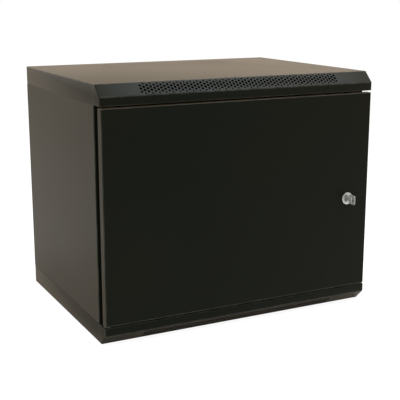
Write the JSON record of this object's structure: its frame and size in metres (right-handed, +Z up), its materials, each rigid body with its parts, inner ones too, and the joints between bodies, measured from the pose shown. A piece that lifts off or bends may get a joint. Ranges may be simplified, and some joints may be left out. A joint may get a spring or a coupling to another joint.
{
  "type": "wall mount network cabinet",
  "caption": "Shallow steel wall cabinet for 19-inch rack equipment, with bevelled perforated roof and floor trays, a solid hinged door and a key lock.",
  "frame": {"origin": "centre of the four wall slots, in the wall plane at the back of the cabinet", "axes": "+Y out of the back towards the wall, +Z up, +X to the right of someone facing the door"},
  "size_m": [0.6, 0.4788, 0.497],
  "materials": {
    "black_paint": "satin powder coat, fine texture",
    "zinc_plate": "bright zinc plate",
    "nickel_plate": "polished nickel plate",
    "spring_steel": "oiled wire",
    "rubber": "matt",
    "nylon": "matt"
  },
  "bodies": {
    "cabinet": {"roof_tray": "black_paint", "floor_tray": "black_paint", "roof_entry_blank": "black_paint", "floor_entry_blank": "black_paint", "left_side_panel": "black_paint", "right_side_panel": "black_paint", "back_panel": "black_paint", "upper_left_beam": "zinc_plate", "upper_right_beam": "zinc_plate", "lower_left_beam": "zinc_plate", "lower_right_beam": "zinc_plate", "frame_bolts": "zinc_plate", "frame_nuts": "zinc_plate", "back_bolts": "zinc_plate", "back_nuts": "zinc_plate", "door_buffers": "rubber", "frame_earth_stud": "zinc_plate", "frame_earth_nut": "zinc_plate"},
    "left_rail_set": {"left_rail": "black_paint", "left_rail_bolts": "zinc_plate", "left_rail_nuts": "zinc_plate"},
    "right_rail_set": {"right_rail": "black_paint", "right_rail_bolts": "zinc_plate", "right_rail_nuts": "zinc_plate"},
    "door": {"door_panel": "black_paint", "door_stiffener": "black_paint", "upper_hinge_bracket": "black_paint", "upper_hinge_spring": "spring_steel", "lower_hinge_plate": "black_paint", "lower_hinge_pin": "zinc_plate", "lower_hinge_washer": "nylon", "lock_housing": "nickel_plate", "lock_nut": "zinc_plate", "door_earth_stud": "zinc_plate", "door_earth_nut": "zinc_plate"},
    "spring_pin": {"upper_hinge_pin": "black_paint"},
    "lock_turn_set": {"lock_plug": "nickel_plate", "lock_cam": "zinc_plate", "cam_screw": "zinc_plate", "key": "nickel_plate"}
  },
  "joints": [
    {"name": "door_swing", "type": "hinge", "parent": "cabinet", "child": "door", "pos_m": [-0.291, -0.441, 0], "axis": [0, 0, -1], "range_deg": [0, 180]},
    {"name": "lock_turn", "type": "hinge", "parent": "door", "child": "lock_turn_set", "pos_m": [0.247, -0.43, -0.014], "axis": [0, 1, 0], "range_deg": [0, 90]},
    {"name": "pin_pull", "type": "slide", "parent": "door", "child": "spring_pin", "axis": [0, 0, -1], "range_m": [0, 0.008], "stiffness_N_per_m": 900, "springref_m": -0.006, "deforming": ["upper_hinge_spring"]},
    {"name": "left_rail_depth", "type": "slide", "parent": "cabinet", "child": "left_rail_set", "axis": [0, 1, 0], "range_m": [0, 0.18]},
    {"name": "right_rail_depth", "type": "slide", "parent": "cabinet", "child": "right_rail_set", "axis": [0, 1, 0], "range_m": [0, 0.18]}
  ]
}
